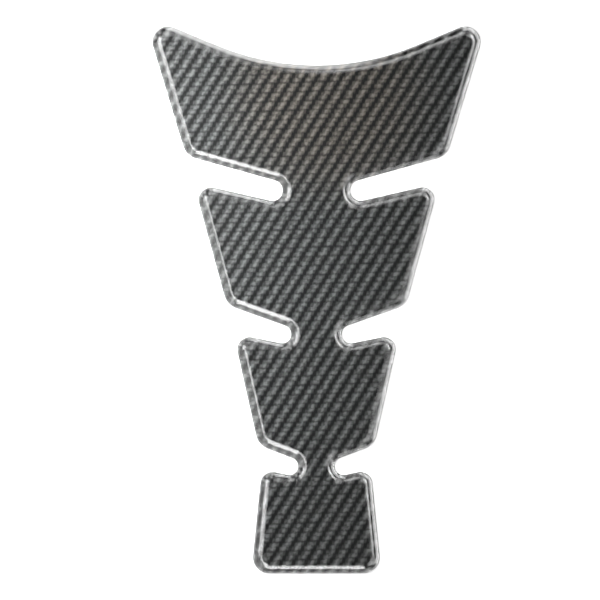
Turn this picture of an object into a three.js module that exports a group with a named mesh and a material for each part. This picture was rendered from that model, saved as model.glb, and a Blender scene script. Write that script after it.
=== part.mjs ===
// Motorcycle tank pad: a spine-shaped sheet of self-adhesive film, die-cut to its outline, with clear resin
// poured on top. The resin runs to the cut edge, is held there by its surface tension, and sets as a low
// dome with a rounded shoulder all round and a flat top.
//
// Millimetres. The pad lies flat: +X is across it, +Y along it towards the wings, +Z up out of the film.
// The origin is the middle of the adhesive face.

import * as THREE from 'three';
import { mergeVertices } from 'three/addons/utils/BufferGeometryUtils.js';

// Heights of the four plates and of the gaps between them, along the pad from its lower end
const FOOT_HEIGHT = 39.6;
const LOWER_GAP = 8.6;
const LOWER_PLATE_HEIGHT = 43.9;
const MIDDLE_GAP = 10.8;
const UPPER_PLATE_HEIGHT = 47.5;
const UPPER_GAP = 10.9;
const WING_HEIGHT = 51.7;

// Width of each plate across its lower corners and across its upper corners
const FOOT_LOWER_WIDTH = 49.4;
const FOOT_UPPER_WIDTH = 43.8;
const LOWER_PLATE_LOWER_WIDTH = 47.4;
const LOWER_PLATE_UPPER_WIDTH = 61.8;
const UPPER_PLATE_LOWER_WIDTH = 72.4;
const UPPER_PLATE_UPPER_WIDTH = 92;
const WING_LOWER_WIDTH = 104.6;
const WING_TIP_WIDTH = 128;

// Rounding of the corners
const FOOT_CORNER_RADIUS = 6.4;
const LOWER_CORNER_RADIUS = 7.2;
const UPPER_CORNER_RADIUS = 4.8;
const WING_TIP_RADIUS = 6;

// Width of the neck left between each pair of notches, the radius of the notches' round ends, and how far
// those ends lie below the middle of the gap at the notches' mouths
const LOWER_NECK_WIDTH = 14.4;
const LOWER_NOTCH_RADIUS = 3.4;
const LOWER_NOTCH_DROP = 2.1;
const MIDDLE_NECK_WIDTH = 19.9;
const MIDDLE_NOTCH_RADIUS = 3.5;
const MIDDLE_NOTCH_DROP = 4.3;
const UPPER_NECK_WIDTH = 26.5;
const UPPER_NOTCH_RADIUS = 4;
const UPPER_NOTCH_DROP = 6.7;

// Hollow of the top edge between the wing tips, and the straight run that leads from its arc to each tip
const SADDLE_DEPTH = 15.2;
const SADDLE_END_RUN = 18.5;

// Section of the pad. The resin's surface leaves the cut edge at the steeper slope and is flat from where it
// has eased to the gentler one.
const FILM_THICKNESS = 0.3;
const RESIN_HEIGHT = 1.8;
const EDGE_SLOPE = THREE.MathUtils.degToRad(64);
const FLAT_SLOPE = THREE.MathUtils.degToRad(5);
const SHOULDER_STEPS = 8;

// Largest gap between a drawn arc and its chords, and the least share of a step left at an arc's ends
const CHORD_TOLERANCE = 0.012;
const SHORTEST_STEP_SHARE = 0.35;

const CONVEX = 1;
const CONCAVE = -1;

// A liquid's edge, held up by surface tension against its weight, bends over a length of its own, its
// capillary length. These two say how far the surface lies below the level that it tends to, and how far in
// from a fixed line, where it has a given slope. Both are counted in capillary lengths.
const dropAtSlope = (slope) => 2 * Math.sin(slope / 2);
const runAtSlope = (slope) => -Math.log(Math.tan(slope / 4)) - 2 * Math.cos(slope / 2);

const CAPILLARY_LENGTH = RESIN_HEIGHT / (dropAtSlope(EDGE_SLOPE) - dropAtSlope(FLAT_SLOPE));
const SHOULDER_WIDTH = CAPILLARY_LENGTH * (runAtSlope(FLAT_SLOPE) - runAtSlope(EDGE_SLOPE));

const FILM_COLOUR = '#52524f';
const RESIN_COLOUR = '#eef1f2';
const RESIN_OPACITY = 0.25;

// The rounded corners and notch ends up the right-hand side, as circles in the order in which the outline
// touches them. Straight runs join them, so a centre and a radius say all about each.
function outlineCircles() {
  const circles = [];
  const corner = (width, y, radius) => {
    circles.push({ centre: new THREE.Vector2(width / 2 - radius, y), radius, bend: CONVEX });
  };
  const notchEnd = (neckWidth, y, radius) => {
    circles.push({ centre: new THREE.Vector2(neckWidth / 2 + radius, y), radius, bend: CONCAVE });
  };

  const footTop = FOOT_HEIGHT;
  const lowerPlateBottom = footTop + LOWER_GAP;
  const lowerPlateTop = lowerPlateBottom + LOWER_PLATE_HEIGHT;
  const upperPlateBottom = lowerPlateTop + MIDDLE_GAP;
  const upperPlateTop = upperPlateBottom + UPPER_PLATE_HEIGHT;
  const wingBottom = upperPlateTop + UPPER_GAP;
  const wingTop = wingBottom + WING_HEIGHT;

  corner(FOOT_LOWER_WIDTH, FOOT_CORNER_RADIUS, FOOT_CORNER_RADIUS);
  corner(FOOT_UPPER_WIDTH, footTop - UPPER_CORNER_RADIUS, UPPER_CORNER_RADIUS);
  notchEnd(LOWER_NECK_WIDTH, footTop + LOWER_GAP / 2 - LOWER_NOTCH_DROP, LOWER_NOTCH_RADIUS);
  corner(LOWER_PLATE_LOWER_WIDTH, lowerPlateBottom + LOWER_CORNER_RADIUS, LOWER_CORNER_RADIUS);
  corner(LOWER_PLATE_UPPER_WIDTH, lowerPlateTop - UPPER_CORNER_RADIUS, UPPER_CORNER_RADIUS);
  notchEnd(MIDDLE_NECK_WIDTH, lowerPlateTop + MIDDLE_GAP / 2 - MIDDLE_NOTCH_DROP, MIDDLE_NOTCH_RADIUS);
  corner(UPPER_PLATE_LOWER_WIDTH, upperPlateBottom + LOWER_CORNER_RADIUS, LOWER_CORNER_RADIUS);
  corner(UPPER_PLATE_UPPER_WIDTH, upperPlateTop - UPPER_CORNER_RADIUS, UPPER_CORNER_RADIUS);
  notchEnd(UPPER_NECK_WIDTH, upperPlateTop + UPPER_GAP / 2 - UPPER_NOTCH_DROP, UPPER_NOTCH_RADIUS);
  corner(WING_LOWER_WIDTH, wingBottom + LOWER_CORNER_RADIUS, LOWER_CORNER_RADIUS);
  corner(WING_TIP_WIDTH, wingTop - WING_TIP_RADIUS, WING_TIP_RADIUS);

  // The saddle's circle stands on the pad's centre line, above the hollow. The straight run touches it and the
  // tip's circle, so it makes a right-angled triangle with the two centres and their radii end to end.
  const tip = circles.at(-1);
  const tipRise = tip.centre.y - (wingTop - SADDLE_DEPTH);
  const saddleRadius = (tip.centre.x ** 2 + tipRise ** 2 - WING_TIP_RADIUS ** 2 - SADDLE_END_RUN ** 2)
    / (2 * (WING_TIP_RADIUS + tipRise));
  const saddleCentre = new THREE.Vector2(0, wingTop - SADDLE_DEPTH + saddleRadius);
  circles.push({ centre: saddleCentre, radius: saddleRadius, bend: CONCAVE });

  for (const circle of circles) {
    circle.centre.y -= wingTop / 2;
  }
  return circles;
}

// Radius of a circle once the outline is moved inwards, positive where the outline bends to the left
function signedRadius(circle, inset) {
  return circle.bend * circle.radius - inset;
}

// Direction of the straight run that leaves one circle and meets the next, as an angle from +X
function headingBetween(from, to) {
  const apart = to.centre.clone().sub(from.centre);
  const lean = Math.asin((signedRadius(from, 0) - signedRadius(to, 0)) / apart.length());
  return Math.atan2(apart.y, apart.x) + lean;
}

// Point where the outline, moved inwards, touches a circle while it runs in the given direction
function touchPoint(circle, heading, inset) {
  const right = new THREE.Vector2(Math.sin(heading), -Math.cos(heading));
  return right.multiplyScalar(signedRadius(circle, inset)).add(circle.centre);
}

// Where the straight runs before and after a corner cross, once the inset has used up its radius
function mitrePoint(circle, headingIn, headingOut, inset) {
  const halfTurn = (headingOut - headingIn) / 2;
  const reach = signedRadius(circle, inset) / Math.cos(halfTurn);
  const middle = (headingIn + headingOut) / 2;
  return new THREE.Vector2(Math.sin(middle), -Math.cos(middle)).multiplyScalar(reach).add(circle.centre);
}

// Headings at which an arc is drawn: its two ends and, between them, whole shares of a quarter turn. The
// points that look straight along an axis are then among them, so the tips reach the full width and length.
// The chords stay within the tolerance at the arc's largest radius in the part.
function arcHeadings(circle, headingIn, headingOut) {
  const largest = circle.bend === CONCAVE ? circle.radius + SHOULDER_WIDTH : circle.radius;
  const widestStep = 2 * Math.acos(1 - CHORD_TOLERANCE / largest);
  const step = Math.PI / 2 / Math.ceil(Math.PI / 2 / widestStep);
  const low = Math.min(headingIn, headingOut) + SHORTEST_STEP_SHARE * step;
  const high = Math.max(headingIn, headingOut) - SHORTEST_STEP_SHARE * step;
  const between = [];
  for (let k = Math.ceil(low / step); k * step <= high; k++) {
    between.push(k * step);
  }
  if (headingOut < headingIn) {
    between.reverse();
  }
  return [headingIn, ...between, headingOut];
}

// The whole outline, counter-clockwise and moved inwards by the inset. Every inset gives as many points.
function outline(inset) {
  const circles = outlineCircles();
  const half = [];
  let headingIn = 0;
  circles.forEach((circle, i) => {
    const next = circles[i + 1];
    let headingOut = next ? headingBetween(circle, next) : Math.PI;
    if (circle.bend * (headingOut - headingIn) < 0) {
      headingOut += circle.bend * 2 * Math.PI;
    }
    const usedUp = circle.bend === CONVEX && signedRadius(circle, inset) <= 0;
    for (const heading of arcHeadings(circle, headingIn, headingOut)) {
      half.push(usedUp
        ? mitrePoint(circle, headingIn, headingOut, inset)
        : touchPoint(circle, heading, inset));
    }
    headingIn = headingOut;
  });

  // The last point lies on the centre line, so its mirror image is left out
  const mirrored = half.slice(0, -1).reverse().map((p) => new THREE.Vector2(-p.x, p.y));
  return [...half, ...mirrored];
}

// Closed skin through a stack of rings with as many points each, capped at both ends
function loft(rings) {
  const count = rings[0].points.length;
  const positions = rings.flatMap((ring) => ring.points.flatMap((p) => [p.x, p.y, ring.z]));
  const indices = [];
  for (let level = 0; level < rings.length - 1; level++) {
    for (let k = 0; k < count; k++) {
      const a = level * count + k;
      const b = level * count + ((k + 1) % count);
      indices.push(a, b, b + count, a, b + count, a + count);
    }
  }
  const top = (rings.length - 1) * count;
  for (const [a, b, c] of THREE.ShapeUtils.triangulateShape(rings[0].points, [])) {
    indices.push(a, c, b);
  }
  for (const [a, b, c] of THREE.ShapeUtils.triangulateShape(rings.at(-1).points, [])) {
    indices.push(top + a, top + b, top + c);
  }
  const geometry = new THREE.BufferGeometry();
  geometry.setAttribute('position', new THREE.Float32BufferAttribute(positions, 3));
  geometry.setIndex(indices);
  return withoutSlivers(mergeVertices(geometry));
}

// Drops the triangles that lost their area where a ring's points ran together
function withoutSlivers(geometry) {
  const index = geometry.index.array;
  const kept = [];
  for (let i = 0; i < index.length; i += 3) {
    const [a, b, c] = index.subarray(i, i + 3);
    if (a !== b && b !== c && c !== a) {
      kept.push(a, b, c);
    }
  }
  geometry.setIndex(kept);
  geometry.computeVertexNormals();
  return geometry;
}

// Flat die-cut sheet, with its adhesive face down
function carbonFilm() {
  const shape = new THREE.Shape(outline(0));
  return new THREE.ExtrudeGeometry(shape, { depth: FILM_THICKNESS, bevelEnabled: false });
}

// Poured resin, from its foot on the film's edge up to the rim of its flat top. Each ring's slope is the
// same share of the one before, which spaces the rings about evenly.
function clearDome() {
  const rings = [];
  for (let k = 0; k <= SHOULDER_STEPS; k++) {
    const slope = EDGE_SLOPE * (FLAT_SLOPE / EDGE_SLOPE) ** (k / SHOULDER_STEPS);
    const inset = CAPILLARY_LENGTH * (runAtSlope(slope) - runAtSlope(EDGE_SLOPE));
    const z = CAPILLARY_LENGTH * (dropAtSlope(EDGE_SLOPE) - dropAtSlope(slope));
    rings.push({ points: outline(inset), z });
  }
  return loft(rings);
}

function namedMesh(name, geometry, material) {
  const mesh = new THREE.Mesh(geometry, material);
  mesh.name = name;
  return mesh;
}

const filmMaterial = new THREE.MeshStandardMaterial({ color: FILM_COLOUR, roughness: 0.5, metalness: 0 });
const resinMaterial = new THREE.MeshStandardMaterial({
  color: RESIN_COLOUR,
  roughness: 0.05,
  metalness: 0,
  transparent: true,
  opacity: RESIN_OPACITY,
});

const film = namedMesh('carbon_film', carbonFilm(), filmMaterial);
const dome = namedMesh('clear_dome', clearDome(), resinMaterial);
dome.position.z = FILM_THICKNESS;

const tankPad = new THREE.Group();
tankPad.name = 'tank_pad';
tankPad.add(film, dome);

export default tankPad;
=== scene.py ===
"""Motorcycle tank pad: a die-cut film with a printed carbon weave, under a dome of clear poured resin.

Metres. +X is across the pad, +Y along it towards the wings, +Z up out of the film, and the pad lies on z = 0.
"""

import math

import bmesh
import bpy
from mathutils import Matrix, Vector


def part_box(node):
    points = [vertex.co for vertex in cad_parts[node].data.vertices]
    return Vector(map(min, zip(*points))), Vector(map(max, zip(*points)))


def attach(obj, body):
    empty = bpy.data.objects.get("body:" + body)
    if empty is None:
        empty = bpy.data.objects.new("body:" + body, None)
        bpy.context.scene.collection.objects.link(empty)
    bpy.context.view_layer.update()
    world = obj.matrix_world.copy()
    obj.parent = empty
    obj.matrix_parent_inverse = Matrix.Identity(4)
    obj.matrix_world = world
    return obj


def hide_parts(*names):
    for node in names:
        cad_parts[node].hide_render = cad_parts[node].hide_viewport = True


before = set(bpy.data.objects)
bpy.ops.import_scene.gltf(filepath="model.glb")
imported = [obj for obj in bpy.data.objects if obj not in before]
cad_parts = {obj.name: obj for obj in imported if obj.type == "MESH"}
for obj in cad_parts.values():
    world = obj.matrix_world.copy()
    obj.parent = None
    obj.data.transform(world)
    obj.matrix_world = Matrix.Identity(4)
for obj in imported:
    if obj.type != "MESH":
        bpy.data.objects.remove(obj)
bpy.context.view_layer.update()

MM = 0.001
FILM_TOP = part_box("carbon_film")[1].z
RESIN_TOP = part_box("clear_dome")[1].z

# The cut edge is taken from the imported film. Points this close are one, and a straight run gets a point
# near each end, so that the shading of the rounding next to it doesn't spread along it.
SAME_POINT = 0.001 * MM
SHORTEST_RUN = 2.5 * MM
RUN_END = 0.3 * MM

# Section of the resin, from its slope at the cut edge to its slope at the flat middle. Where it is steeper
# than the shoulder's slope, the surface isn't perfectly smooth.
EDGE_SLOPE = math.radians(64)
FLAT_SLOPE = math.radians(5)
SHOULDER_SLOPE = math.radians(6.5)
SHOULDER_ROUGHNESS = 0.015
SHOULDER_RINGS = 26
COLLAR_WIDTH = 0.4 * MM
RESIN_SINK = 0.02 * MM
RESIN_COLOUR = (0.99, 0.995, 0.995, 1.0)
RESIN_IOR = 1.5

# Printed weave. The profile runs over one repeat of four warps: lit weft, shade, dark warp, shade.
WARP_PITCH = 1.218 * MM
WEFT_PITCH = 1.785 * MM
WEAVE_TURN = math.radians(2.2)
WEAVE_ORIGIN = (-1.17 * MM, -0.865 * MM, 0.0)
WEAVE_PROFILE = [(0.0, 0.68), (0.07, 0.90), (0.21, 0.90), (0.31, 0.62), (0.45, 0.50), (0.52, 0.0),
                 (0.73, 0.0), (0.79, 0.46), (0.93, 0.58), (1.0, 0.68)]
PRINT_GREYS = [(0.0, 0.002), (0.5, 0.115), (1.0, 0.40)]
WARM_TINT = (1.12, 1.0, 0.87, 1.0)
COOL_TINT = (0.98, 1.0, 0.99, 1.0)
WARM_PLACE = (0.005, 0.080, 0.0)
WARM_RADIUS = 0.034
WARM_FADE = 0.016
WEAVE_LEAN = 0.42
WEAVE_NOTCH = 1.0
WEAVE_UNEVENNESS = 1.25
WARPS_IN_REPEAT = 4.0

# Where rows meet, a notch of this sharpness. The neighbour darkens it by a share, and it is deeper or less
# deep by the swing in every second row.
NOTCH_SHARPNESS = 1.6
NEIGHBOUR_SHARE = 0.6
PAIRING_SWING = 0.14
PAIRING_MIDDLE = 0.25

# Unevenness of the tows: patches, fibres along them, and more of both in the lit tows
PATCH_SCALE = 0.8
PATCH_DETAIL = 1.5
FIBRE_STRETCH = (0.7, 6.0, 1.0)
FIBRE_SHARE = 0.4
STRAY_LIT = 0.8
STRAY_DARK = 0.4

# Vinyl of the film. The print lies on its top, down to this depth.
FILM_ROUGHNESS = 0.55
CUT_EDGE_COLOUR = (0.62, 0.62, 0.60, 1.0)
PRINT_DEPTH = 0.01 * MM

# Camera and room
CAMERA_HEIGHT = 1.2
CAMERA_SIDE = -6.4 * MM
SENSOR_WIDTH = 36.0
VIEW_WIDTH = 233.2 * MM
FLOOR_SIZE = 6.0
FLOOR_DROP = 0.01 * MM
FLOOR_COLOUR = (0.85, 0.85, 0.85, 1.0)
FLOOR_ROUGHNESS = 0.9
FLOOR_SEEN = 0.8
FLOOR_MIRRORED = 2.4
KEY_SIZE = 0.20
KEY_POWER = 1.2
KEY_PLACE = (-0.176, 0.043, 0.110)
WHITE = (1.0, 1.0, 1.0, 1.0)

# Level of the room as a light, and what the resin's flat middle mirrors of it, between two angles off the
# vertical, in degrees
ROOM_LEVEL = 0.26
MIRRORED_CEILING = 0.14
MIRRORED_HORIZON = 0.5
CEILING_ANGLE = 15.0
HORIZON_ANGLE = 90.0

# Soft boxes and walls that the resin mirrors. Azimuth is from +X and the other angle off the vertical, both
# in degrees, each with the distance over which it fades.
SOFT_BOXES = [
    # azimuth from, to, fade, off vertical from, to, fade, level
    (-30, 99, 6, 45, 120, 1.5, 10),
    (-89, -60, 6, 42.5, 120, 4, 4),
    (-6, 54, 10, 22.5, 30.5, 6.5, 22),
    (-45, -12, 8, 15.5, 51, 11.5, 3.5),
    (47, 79, 8, 12, 40, 5, 3.5),
    (86, 114, 8, 24.5, 35, 10.5, 10.5),
    (124, 124, 8, 12.5, 25, 6, 24),
    (126, 133, 8, 39, 73, 11, 11.5),
    (139, 186, 8, 16.5, 33.5, 6.5, 17.5),
    (152, 163, 8, 41.5, 120, 7, 9.5),
    (189, 248, 8, 16.5, 21, 5, 19.5),
    (178, 261, 8, 24, 120, 9.5, 3),
    (241, 262, 6, 17, 33.5, 6, 18.5),
    (262, 278, 6, 24, 40, 5.5, 17.5),
    (297, 327, 10, 16.5, 32.5, 3, 4),
    (-200, 200, 10, 78, 120, 12.5, 7.5),
    (-55, 85, 8, 67.5, 120, 14, 4),
    (-68, -60, 6, 79.5, 120, 13.5, 12),
]


# Cut edge

def film_outline():
    """The film's cut edge as points, counter-clockwise seen from above."""
    sheet = bmesh.new()
    sheet.from_mesh(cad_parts["carbon_film"].data)
    bmesh.ops.remove_doubles(sheet, verts=sheet.verts, dist=SAME_POINT)
    following = {}
    for edge in sheet.edges:
        upper = [loop for loop in edge.link_loops if loop.face.normal.z > 0.5]
        if len(upper) == 1:
            following[upper[0].vert] = upper[0].link_loop_next.vert
    points = []
    first = corner = next(iter(following))
    while not points or corner != first:
        ahead = following[corner]
        run = ahead.co - corner.co
        points.append(corner.co.copy())
        if run.length > SHORTEST_RUN:
            end = run.normalized() * RUN_END
            points += [corner.co + end, ahead.co - end]
        corner = ahead
    sheet.free()
    return points


# Node helpers

def node(tree, kind, inputs=None, **settings):
    made = tree.nodes.new(kind)
    for name, value in settings.items():
        setattr(made, name, value)
    for key, value in (inputs or {}).items():
        feed(tree, made.inputs[key], value)
    return made


def feed(tree, socket, value):
    if isinstance(value, bpy.types.NodeSocket):
        tree.links.new(value, socket)
    else:
        socket.default_value = value


def maths(tree, operation, *values):
    return node(tree, "ShaderNodeMath", dict(enumerate(values)), operation=operation).outputs[0]


def window(tree, value, low, high, soft):
    """1 between low and high, easing to 0 over the soft distance at each side."""
    rise = node(tree, "ShaderNodeMapRange", {
        "Value": value, "From Min": low - soft, "From Max": low + soft}, interpolation_type="SMOOTHSTEP")
    fall = node(tree, "ShaderNodeMapRange", {
        "Value": value, "From Min": high - soft, "From Max": high + soft,
        "To Min": 1.0, "To Max": 0.0}, interpolation_type="SMOOTHSTEP")
    return maths(tree, "MULTIPLY", rise.outputs[0], fall.outputs[0])


# Resin dome

def resin_section(tree, sockets):
    """Half section of the resin as a curve: x is minus the distance in from the edge, y minus the height."""
    rings = sockets["Shoulder Rings"]
    index = node(tree, "GeometryNodeInputIndex").outputs[0]
    step = maths(tree, "MINIMUM", maths(tree, "MAXIMUM", maths(tree, "SUBTRACT", index, 1.0), 0.0), rings)
    share = maths(tree, "DIVIDE", step, rings)
    ratio = maths(tree, "DIVIDE", sockets["Flat Slope"], sockets["Edge Slope"])
    slope = maths(tree, "MULTIPLY", sockets["Edge Slope"], maths(tree, "POWER", ratio, share))

    def drop(angle):
        return maths(tree, "MULTIPLY", maths(tree, "SINE", maths(tree, "MULTIPLY", angle, 0.5)), 2.0)

    def run(angle):
        log = maths(tree, "LOGARITHM", maths(tree, "TANGENT", maths(tree, "MULTIPLY", angle, 0.25)), math.e)
        cosine = maths(tree, "COSINE", maths(tree, "MULTIPLY", angle, 0.5))
        return maths(tree, "SUBTRACT", maths(tree, "MULTIPLY", log, -1.0),
                     maths(tree, "MULTIPLY", cosine, 2.0))

    edge_drop, edge_run = drop(sockets["Edge Slope"]), run(sockets["Edge Slope"])
    capillary = maths(tree, "DIVIDE", sockets["Resin Height"],
                      maths(tree, "SUBTRACT", edge_drop, drop(sockets["Flat Slope"])))
    inset = maths(tree, "MULTIPLY", capillary, maths(tree, "SUBTRACT", run(slope), edge_run))
    height = maths(tree, "MULTIPLY", capillary, maths(tree, "SUBTRACT", edge_drop, drop(slope)))

    is_foot = maths(tree, "LESS_THAN", index, 0.5)
    is_collar = maths(tree, "GREATER_THAN", index, maths(tree, "ADD", rings, 1.5))
    inset = maths(tree, "ADD", inset, maths(tree, "MULTIPLY", is_collar, sockets["Collar Width"]))
    height = maths(tree, "SUBTRACT", height, maths(tree, "MULTIPLY", is_foot, sockets["Sink"]))
    place = node(tree, "ShaderNodeCombineXYZ", {
        "X": maths(tree, "MULTIPLY", inset, -1.0), "Y": maths(tree, "MULTIPLY", height, -1.0)})
    line = node(tree, "GeometryNodeMeshLine", {"Count": maths(tree, "ADD", rings, 3.0)})
    curve = node(tree, "GeometryNodeMeshToCurve", {"Mesh": line.outputs[0]})
    return node(tree, "GeometryNodeSetPosition", {"Geometry": curve.outputs[0], "Position": place.outputs[0]})


def resin_tree(material):
    """Sweeps the resin's section round the outline, and closes it above and below."""
    tree = bpy.data.node_groups.new("poured_resin", "GeometryNodeTree")
    face = tree.interface
    face.new_socket("Geometry", in_out="OUTPUT", socket_type="NodeSocketGeometry")
    face.new_socket("Outline", in_out="INPUT", socket_type="NodeSocketGeometry")
    for name in ("Resin Height", "Edge Slope", "Flat Slope", "Collar Width", "Sink"):
        face.new_socket(name, in_out="INPUT", socket_type="NodeSocketFloat")
    face.new_socket("Shoulder Rings", in_out="INPUT", socket_type="NodeSocketInt")
    sockets = node(tree, "NodeGroupInput").outputs

    section = resin_section(tree, sockets)
    path = node(tree, "GeometryNodeMeshToCurve", {"Mesh": sockets["Outline"]})
    upright = node(tree, "GeometryNodeSetCurveNormal", {"Curve": path.outputs[0]}, mode="Z_UP")
    swept = node(tree, "GeometryNodeCurveToMesh", {
        "Curve": upright.outputs[0], "Profile Curve": section.outputs[0]})
    skin = node(tree, "GeometryNodeFlipFaces", {"Mesh": swept.outputs[0]})

    faces_round = node(tree, "GeometryNodeInputMeshEdgeNeighbors").outputs[0]
    rim = maths(tree, "LESS_THAN", faces_round, 1.5)
    rims = node(tree, "GeometryNodeMeshToCurve", {"Mesh": skin.outputs[0], "Selection": rim})
    position = node(tree, "GeometryNodeInputPosition").outputs[0]
    height = node(tree, "ShaderNodeSeparateXYZ", {"Vector": position})
    lower = maths(tree, "LESS_THAN", height.outputs["Z"], 0.0)
    split = node(tree, "GeometryNodeSeparateGeometry", {
        "Geometry": rims.outputs[0], "Selection": lower}, domain="CURVE")

    foot = maths(tree, "MULTIPLY", sockets["Sink"], -1.0)
    lids = []
    for loop, level, flip in ((split.outputs["Selection"], foot, True),
                              (split.outputs["Inverted"], sockets["Resin Height"], False)):
        lid = node(tree, "GeometryNodeFillCurve", {"Curve": loop})
        lift = node(tree, "ShaderNodeCombineXYZ", {"Z": level})
        there = node(tree, "GeometryNodeInputPosition").outputs[0]
        flat = node(tree, "ShaderNodeVectorMath", {0: there, 1: (1.0, 1.0, 0.0)}, operation="MULTIPLY")
        place = node(tree, "ShaderNodeVectorMath", {
            0: flat.outputs[0], 1: lift.outputs[0]}, operation="ADD").outputs[0]
        lid = node(tree, "GeometryNodeSetPosition", {"Geometry": lid.outputs[0], "Position": place})
        if flip:
            lid = node(tree, "GeometryNodeFlipFaces", {"Mesh": lid.outputs[0]})
        lids.append(lid.outputs[0])

    parts = node(tree, "GeometryNodeJoinGeometry")
    for part in (skin.outputs[0], *lids):
        tree.links.new(part, parts.inputs[0])
    whole = node(tree, "GeometryNodeMergeByDistance", {"Geometry": parts.outputs[0], "Distance": SAME_POINT})
    smooth = node(tree, "GeometryNodeSetShadeSmooth", {"Geometry": whole.outputs[0]})
    real = node(tree, "GeometryNodeRealizeInstances", {"Geometry": smooth.outputs[0]})
    dressed = node(tree, "GeometryNodeSetMaterial", {"Geometry": real.outputs[0], "Material": material})
    node(tree, "NodeGroupOutput", {0: dressed.outputs[0]})
    return tree


def set_inputs(modifier, values):
    """Sets a modifier's inputs by name, through their identifiers."""
    names = {item.name: item.identifier for item in modifier.node_group.interface.items_tree
             if item.in_out == "INPUT"}
    for name, value in values.items():
        modifier[names[name]] = value


def pour_resin(material):
    """The resin as a plain mesh on top of the film."""
    points = film_outline()
    mesh = bpy.data.meshes.new("resin_outline")
    count = len(points)
    mesh.from_pydata([(p.x, p.y, 0.0) for p in points], [(k, (k + 1) % count) for k in range(count)], [])
    source = bpy.data.objects.new("resin_outline", mesh)
    bpy.context.scene.collection.objects.link(source)
    modifier = source.modifiers.new("pour", "NODES")
    modifier.node_group = resin_tree(material)
    set_inputs(modifier, {
        "Resin Height": RESIN_TOP - FILM_TOP, "Edge Slope": EDGE_SLOPE, "Flat Slope": FLAT_SLOPE,
        "Collar Width": COLLAR_WIDTH, "Sink": RESIN_SINK, "Shoulder Rings": SHOULDER_RINGS})
    evaluated = source.evaluated_get(bpy.context.evaluated_depsgraph_get())
    mesh = bpy.data.meshes.new_from_object(evaluated)
    bpy.data.objects.remove(source)
    mesh.transform(Matrix.Translation((0, 0, FILM_TOP)))
    dome = bpy.data.objects.new("resin_dome", mesh)
    bpy.context.scene.collection.objects.link(dome)
    return dome


# Materials

def weave_group():
    """Printed twill. Puts out the print's tone, from 0 in the dark warp to 1 in the lit weft."""
    tree = bpy.data.node_groups.new("printed_weave", "ShaderNodeTree")
    face = tree.interface
    face.new_socket("Vector", in_out="INPUT", socket_type="NodeSocketVector")
    for name in ("Warp Pitch", "Weft Pitch", "Turn", "Lean", "Notch", "Unevenness"):
        face.new_socket(name, in_out="INPUT", socket_type="NodeSocketFloat")
    face.new_socket("Tone", in_out="OUTPUT", socket_type="NodeSocketFloat")
    given = node(tree, "NodeGroupInput").outputs

    turned = node(tree, "ShaderNodeVectorRotate", {
        "Vector": given["Vector"], "Angle": maths(tree, "MULTIPLY", given["Turn"], -1.0)},
        rotation_type="Z_AXIS")
    place = node(tree, "ShaderNodeSeparateXYZ", {"Vector": turned.outputs[0]})
    across = maths(tree, "DIVIDE", place.outputs["X"], given["Warp Pitch"])
    down = maths(tree, "DIVIDE", maths(tree, "MULTIPLY", place.outputs["Y"], -1.0), given["Weft Pitch"])
    row = maths(tree, "FLOOR", down)
    in_row = maths(tree, "SUBTRACT", down, row)
    leaning = maths(tree, "MULTIPLY_ADD", maths(tree, "SUBTRACT", in_row, 0.5), given["Lean"], across)

    def across_repeat(place):
        in_repeat = maths(tree, "FLOORED_MODULO", place, WARPS_IN_REPEAT)
        share = maths(tree, "DIVIDE", in_repeat, WARPS_IN_REPEAT)
        profile = node(tree, "ShaderNodeValToRGB", {"Fac": share})
        grade(profile.color_ramp, WEAVE_PROFILE)
        return profile.outputs["Color"]

    # Where two rows meet, the darker one shows
    off_middle = maths(tree, "MULTIPLY_ADD", in_row, 2.0, -1.0)
    notch = maths(tree, "POWER", maths(tree, "ABSOLUTE", off_middle), NOTCH_SHARPNESS)
    column = maths(tree, "ADD", leaning, row)
    not_leaning = maths(tree, "SUBTRACT", 1.0, given["Lean"])
    step = maths(tree, "MULTIPLY", maths(tree, "SIGN", off_middle), not_leaning)
    own, beside = across_repeat(column), across_repeat(maths(tree, "ADD", column, step))
    darker = maths(tree, "SUBTRACT", own, maths(tree, "MINIMUM", own, beside))
    shade = maths(tree, "MULTIPLY", maths(tree, "MULTIPLY", darker, notch), NEIGHBOUR_SHARE)
    tone = maths(tree, "SUBTRACT", own, shade)

    # The notch between rows is deeper after every second one, and deepest in the lit tows
    every_second = maths(tree, "COSINE", maths(tree, "MULTIPLY", down, math.pi))
    pairing = maths(tree, "MULTIPLY_ADD", every_second, PAIRING_SWING, PAIRING_MIDDLE)
    sunk = maths(tree, "MULTIPLY", maths(tree, "MULTIPLY", notch, pairing),
                 maths(tree, "MULTIPLY", own, given["Notch"]))
    tone = maths(tree, "SUBTRACT", tone, sunk)

    # Tows are never quite alike, and fibres show along them
    cell = node(tree, "ShaderNodeCombineXYZ", {"X": leaning, "Y": down})
    patches = node(tree, "ShaderNodeTexNoise", {
        "Vector": cell.outputs[0], "Scale": PATCH_SCALE, "Detail": PATCH_DETAIL})
    along = node(tree, "ShaderNodeVectorMath", {0: cell.outputs[0], 1: FIBRE_STRETCH}, operation="MULTIPLY")
    fibres = node(tree, "ShaderNodeTexNoise", {"Vector": along.outputs[0], "Scale": 1.0, "Detail": 1.0})
    stray = maths(tree, "ADD", maths(tree, "SUBTRACT", patches.outputs["Fac"], 0.5),
                  maths(tree, "MULTIPLY", maths(tree, "SUBTRACT", fibres.outputs["Fac"], 0.5), FIBRE_SHARE))
    stray = maths(tree, "MULTIPLY", stray, maths(tree, "MULTIPLY_ADD", own, STRAY_LIT, STRAY_DARK))
    tone = maths(tree, "MULTIPLY_ADD", stray, given["Unevenness"], tone)
    node(tree, "NodeGroupOutput", {"Tone": tone})
    return tree


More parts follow.
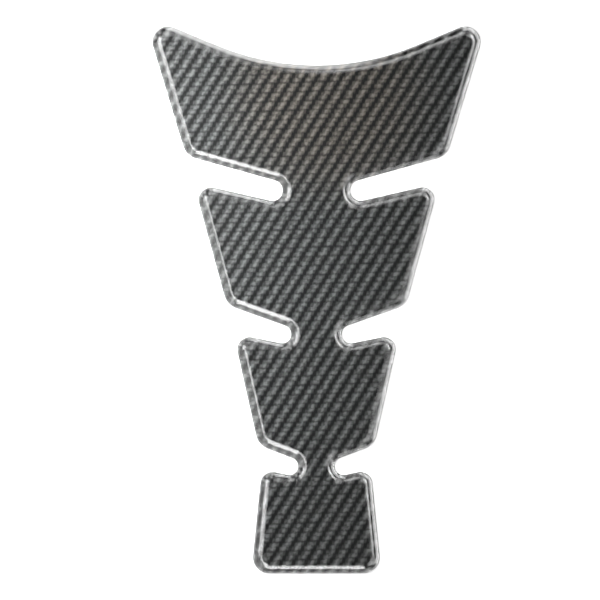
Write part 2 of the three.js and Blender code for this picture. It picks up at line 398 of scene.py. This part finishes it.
def grade(ramp, stops, interpolation="EASE"):
    """Sets a ramp's stops, each a place and a grey or a colour."""
    ramp.interpolation = interpolation
    for k, (place, colour) in enumerate(stops):
        stop = ramp.elements[k] if k < 2 else ramp.elements.new(place)
        stop.position = place
        stop.color = (*colour, 1.0) if isinstance(colour, tuple) else (colour, colour, colour, 1.0)


def film_material(weave):
    material = bpy.data.materials.new("printed_film")
    material.use_nodes = True
    tree = material.node_tree
    shader = tree.nodes["Principled BSDF"]
    place = node(tree, "ShaderNodeTexCoord").outputs["Object"]
    from_corner = node(tree, "ShaderNodeVectorMath", {0: place, 1: WEAVE_ORIGIN}, operation="SUBTRACT")
    print_tone = node(tree, "ShaderNodeGroup", node_tree=weave)
    for name, value in (("Vector", from_corner.outputs[0]), ("Warp Pitch", WARP_PITCH),
                        ("Weft Pitch", WEFT_PITCH), ("Turn", WEAVE_TURN), ("Lean", WEAVE_LEAN),
                        ("Notch", WEAVE_NOTCH), ("Unevenness", WEAVE_UNEVENNESS)):
        feed(tree, print_tone.inputs[name], value)
    ramp = node(tree, "ShaderNodeValToRGB", {"Fac": print_tone.outputs["Tone"]})
    grade(ramp.color_ramp, PRINT_GREYS, "LINEAR")

    # The ink is a little warmer between the wings than elsewhere
    away = node(tree, "ShaderNodeVectorMath", {0: place, 1: WARM_PLACE}, operation="DISTANCE")
    from_warm = away.outputs["Value"]
    tint = node(tree, "ShaderNodeMix", {"A": COOL_TINT, "B": WARM_TINT}, data_type="RGBA")
    tree.links.new(window(tree, from_warm, -1.0, WARM_RADIUS, WARM_FADE), tint.inputs["Factor"])
    inked = node(tree, "ShaderNodeMix", {
        "Factor": 1.0, "A": ramp.outputs["Color"], "B": node_output(tint)},
        data_type="RGBA", blend_type="MULTIPLY")

    height = node(tree, "ShaderNodeSeparateXYZ", {"Vector": place}).outputs["Z"]
    on_top = maths(tree, "GREATER_THAN", height, FILM_TOP - PRINT_DEPTH)
    colour = node(tree, "ShaderNodeMix", {
        "Factor": on_top, "A": CUT_EDGE_COLOUR, "B": node_output(inked)}, data_type="RGBA")
    tree.links.new(node_output(colour), shader.inputs["Base Color"])
    shader.inputs["Roughness"].default_value = FILM_ROUGHNESS
    return material


def node_output(mix):
    """The colour output of a Mix node."""
    return next(o for o in mix.outputs if o.enabled)


def resin_material():
    material = bpy.data.materials.new("clear_resin")
    material.use_nodes = True
    tree = material.node_tree
    shader = tree.nodes["Principled BSDF"]
    shader.inputs["Base Color"].default_value = RESIN_COLOUR
    shader.inputs["Transmission Weight"].default_value = 1.0
    shader.inputs["IOR"].default_value = RESIN_IOR

    # The flat middle is perfectly smooth, and the shoulder a trace less so. The world tells them apart by it.
    normal = node(tree, "ShaderNodeNewGeometry").outputs["Normal"]
    upright = node(tree, "ShaderNodeSeparateXYZ", {"Vector": normal})
    on_shoulder = maths(tree, "LESS_THAN", upright.outputs["Z"], math.cos(SHOULDER_SLOPE))
    tree.links.new(maths(tree, "MULTIPLY", on_shoulder, SHOULDER_ROUGHNESS), shader.inputs["Roughness"])
    return material


# Studio

def mirrored_ray(tree, seen):
    """1 for a ray mirrored by a surface. One that went through the resin counts as glossy too, but gets 0."""
    not_through = maths(tree, "SUBTRACT", 1.0, seen["Is Transmission Ray"])
    return maths(tree, "MULTIPLY", seen["Is Glossy Ray"], not_through)


def lay_floor():
    mesh = bpy.data.meshes.new("floor")
    half = FLOOR_SIZE / 2
    level = -FLOOR_DROP
    mesh.from_pydata([(-half, -half, level), (half, -half, level), (half, half, level), (-half, half, level)],
                     [], [(0, 1, 2, 3)])
    floor = bpy.data.objects.new("floor", mesh)
    bpy.context.scene.collection.objects.link(floor)
    material = bpy.data.materials.new("white_floor")
    material.use_nodes = True
    tree = material.node_tree
    shader = tree.nodes["Principled BSDF"]
    shader.inputs["Base Color"].default_value = FLOOR_COLOUR
    shader.inputs["Roughness"].default_value = FLOOR_ROUGHNESS
    shader.inputs["Specular IOR Level"].default_value = 0.0
    seen = node(tree, "ShaderNodeLightPath").outputs
    straight = maths(tree, "MAXIMUM", seen["Is Camera Ray"], seen["Is Transmission Ray"])
    shader.inputs["Emission Color"].default_value = WHITE
    plain = maths(tree, "MULTIPLY", straight, FLOOR_SEEN)
    tree.links.new(maths(tree, "MULTIPLY_ADD", mirrored_ray(tree, seen), FLOOR_MIRRORED, plain),
                   shader.inputs["Emission Strength"])
    mesh.materials.append(material)


def room_light():
    world = bpy.data.worlds.new("studio")
    bpy.context.scene.world = world
    world.use_nodes = True
    tree = world.node_tree
    background = tree.nodes["Background"]
    toward = node(tree, "ShaderNodeTexCoord").outputs["Generated"]
    axes = node(tree, "ShaderNodeSeparateXYZ", {"Vector": toward})
    azimuth = maths(tree, "DEGREES", maths(tree, "ARCTAN2", axes.outputs["Y"], axes.outputs["X"]))
    off_vertical = maths(tree, "DEGREES", maths(tree, "ARCCOSINE", axes.outputs["Z"]))
    total = MIRRORED_CEILING
    for az_from, az_to, az_fade, off_from, off_to, off_fade, level in SOFT_BOXES:
        # The azimuth is counted from the box's own middle, so that none is cut by the step at 180 degrees
        middle = (az_from + az_to) / 2
        turned = maths(tree, "WRAP", maths(tree, "SUBTRACT", azimuth, middle), 180.0, -180.0)
        box = maths(tree, "MULTIPLY", window(tree, turned, az_from - middle, az_to - middle, az_fade),
                    window(tree, off_vertical, off_from, off_to, off_fade))
        total = maths(tree, "ADD", total, maths(tree, "MULTIPLY", box, level))
    seen = node(tree, "ShaderNodeLightPath").outputs
    plain = maths(tree, "MULTIPLY_ADD", seen["Is Camera Ray"], 1.0 - ROOM_LEVEL, ROOM_LEVEL)

    # The perfectly smooth middle mirrors no soft box, only a dim room that is paler towards the horizon
    dim = node(tree, "ShaderNodeMapRange", {
        "Value": off_vertical, "From Min": CEILING_ANGLE, "From Max": HORIZON_ANGLE,
        "To Min": MIRRORED_CEILING, "To Max": MIRRORED_HORIZON}, interpolation_type="SMOOTHSTEP")
    total = node(tree, "ShaderNodeMix", {"Factor": seen["Is Singular Ray"], "A": total, "B": dim.outputs[0]})
    level = node(tree, "ShaderNodeMix", {
        "Factor": mirrored_ray(tree, seen), "A": plain, "B": total.outputs[0]})
    background.inputs["Color"].default_value = WHITE
    tree.links.new(level.outputs[0], background.inputs["Strength"])


def hang_key_light():
    light = bpy.data.lights.new("key", "AREA")
    light.shape = "DISK"
    light.size = KEY_SIZE
    light.energy = KEY_POWER
    key = bpy.data.objects.new("key", light)
    key.location = KEY_PLACE
    bpy.context.scene.collection.objects.link(key)
    key.visible_camera = False
    key.visible_glossy = False


def place_camera():
    data = bpy.data.cameras.new("camera")
    data.sensor_width = SENSOR_WIDTH
    data.lens = SENSOR_WIDTH * (CAMERA_HEIGHT - RESIN_TOP) / VIEW_WIDTH
    camera = bpy.data.objects.new("camera", data)
    camera.location = (CAMERA_SIDE, 0.0, CAMERA_HEIGHT)
    bpy.context.scene.collection.objects.link(camera)
    bpy.context.scene.camera = camera


bpy.context.scene.view_settings.view_transform = "Standard"
place_camera()
room_light()
hang_key_light()
lay_floor()

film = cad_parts["carbon_film"]
film.material_slots[0].material = film_material(weave_group())

dome = pour_resin(resin_material())
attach(dome, "root")
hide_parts("clear_dome")
